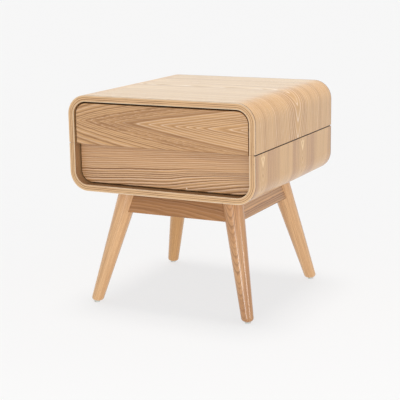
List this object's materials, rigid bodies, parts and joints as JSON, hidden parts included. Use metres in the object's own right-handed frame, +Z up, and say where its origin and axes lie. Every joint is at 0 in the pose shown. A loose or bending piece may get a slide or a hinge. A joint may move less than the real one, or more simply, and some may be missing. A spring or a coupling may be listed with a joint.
{
  "type": "bedside cabinet",
  "caption": "Rounded plywood bedside cabinet in two halves on splayed round legs, with sliding drawers opened by a finger gap between their fronts.",
  "frame": {"origin": "on the floor under the middle of the cabinet", "axes": "+X to the right seen from the front, +Y to the back (the drawers open along -Y), +Z up"},
  "size_m": [0.45, 0.445, 0.4805],
  "materials": {
    "shell_veneer": "satin lacquered ash veneer on moulded plywood",
    "front_veneer": "satin lacquered ash veneer",
    "back_veneer": "satin lacquered ash veneer",
    "box_wood": "lacquered birch plywood",
    "solid_ash": "satin lacquered solid ash",
    "dowel_wood": "bare beech",
    "slide_steel": "bright zinc-plated steel sheet",
    "screw_steel": "zinc-plated steel",
    "glide_plastic": "moulded light grey polyethylene"
  },
  "bodies": {
    "cabinet": {"back_panel": "back_veneer", "back_rail": "solid_ash", "base_screws": "screw_steel", "corner_block_back_left": "solid_ash", "corner_block_back_right": "solid_ash", "corner_block_front_left": "solid_ash", "corner_block_front_right": "solid_ash", "front_rail": "solid_ash", "glide_back_left": "glide_plastic", "glide_back_right": "glide_plastic", "glide_front_left": "glide_plastic", "glide_front_right": "glide_plastic", "glide_nails": "screw_steel", "left_rail": "solid_ash", "leg_back_left": "solid_ash", "leg_back_right": "solid_ash", "leg_front_left": "solid_ash", "leg_front_right": "solid_ash", "lower_left_cabinet_member": "slide_steel", "lower_right_cabinet_member": "slide_steel", "lower_shell": "shell_veneer", "right_rail": "solid_ash", "seam_spline_left": "box_wood", "seam_spline_right": "box_wood", "upper_left_cabinet_member": "slide_steel", "upper_right_cabinet_member": "slide_steel", "upper_shell": "shell_veneer", "wall_screws": "screw_steel"},
    "lower_drawer": {"lower_box_back": "box_wood", "lower_box_bottom": "box_wood", "lower_box_dowels": "dowel_wood", "lower_box_front": "box_wood", "lower_box_side_left": "box_wood", "lower_box_side_right": "box_wood", "lower_drawer_front": "front_veneer", "lower_front_screws": "screw_steel", "lower_left_drawer_member": "slide_steel", "lower_right_drawer_member": "slide_steel", "lower_slide_screws": "screw_steel"},
    "lower_inner_cages": {"lower_inner_ball_cages": "slide_steel"},
    "lower_slide_middle": {"lower_left_middle_member": "slide_steel", "lower_right_middle_member": "slide_steel"},
    "lower_outer_cages": {"lower_outer_ball_cages": "slide_steel"},
    "upper_drawer": {"upper_box_back": "box_wood", "upper_box_bottom": "box_wood", "upper_box_dowels": "dowel_wood", "upper_box_front": "box_wood", "upper_box_side_left": "box_wood", "upper_box_side_right": "box_wood", "upper_drawer_front": "front_veneer", "upper_front_screws": "screw_steel", "upper_left_drawer_member": "slide_steel", "upper_right_drawer_member": "slide_steel", "upper_slide_screws": "screw_steel"},
    "upper_inner_cages": {"upper_inner_ball_cages": "slide_steel"},
    "upper_slide_middle": {"upper_left_middle_member": "slide_steel", "upper_right_middle_member": "slide_steel"},
    "upper_outer_cages": {"upper_outer_ball_cages": "slide_steel"}
  },
  "joints": [
    {"name": "upper_drawer_slide", "type": "slide", "parent": "cabinet", "child": "upper_drawer", "axis": [0, -1, 0], "range_m": [0, 0.32]},
    {"name": "upper_middle_slide", "type": "slide", "parent": "cabinet", "child": "upper_slide_middle", "axis": [0, -1, 0], "range_m": [0, 0.16]},
    {"name": "upper_outer_cage_slide", "type": "slide", "parent": "cabinet", "child": "upper_outer_cages", "axis": [0, -1, 0], "range_m": [0, 0.08]},
    {"name": "upper_inner_cage_slide", "type": "slide", "parent": "cabinet", "child": "upper_inner_cages", "axis": [0, -1, 0], "range_m": [0, 0.24]},
    {"name": "lower_drawer_slide", "type": "slide", "parent": "cabinet", "child": "lower_drawer", "axis": [0, -1, 0], "range_m": [0, 0.32]},
    {"name": "lower_middle_slide", "type": "slide", "parent": "cabinet", "child": "lower_slide_middle", "axis": [0, -1, 0], "range_m": [0, 0.16]},
    {"name": "lower_outer_cage_slide", "type": "slide", "parent": "cabinet", "child": "lower_outer_cages", "axis": [0, -1, 0], "range_m": [0, 0.08]},
    {"name": "lower_inner_cage_slide", "type": "slide", "parent": "cabinet", "child": "lower_inner_cages", "axis": [0, -1, 0], "range_m": [0, 0.24]}
  ],
  "couplings": [
    {"joint": "upper_middle_slide", "follows": "upper_drawer_slide", "ratio": 0.5},
    {"joint": "upper_outer_cage_slide", "follows": "upper_drawer_slide", "ratio": 0.25},
    {"joint": "upper_inner_cage_slide", "follows": "upper_drawer_slide", "ratio": 0.75},
    {"joint": "lower_middle_slide", "follows": "lower_drawer_slide", "ratio": 0.5},
    {"joint": "lower_outer_cage_slide", "follows": "lower_drawer_slide", "ratio": 0.25},
    {"joint": "lower_inner_cage_slide", "follows": "lower_drawer_slide", "ratio": 0.75}
  ]
}
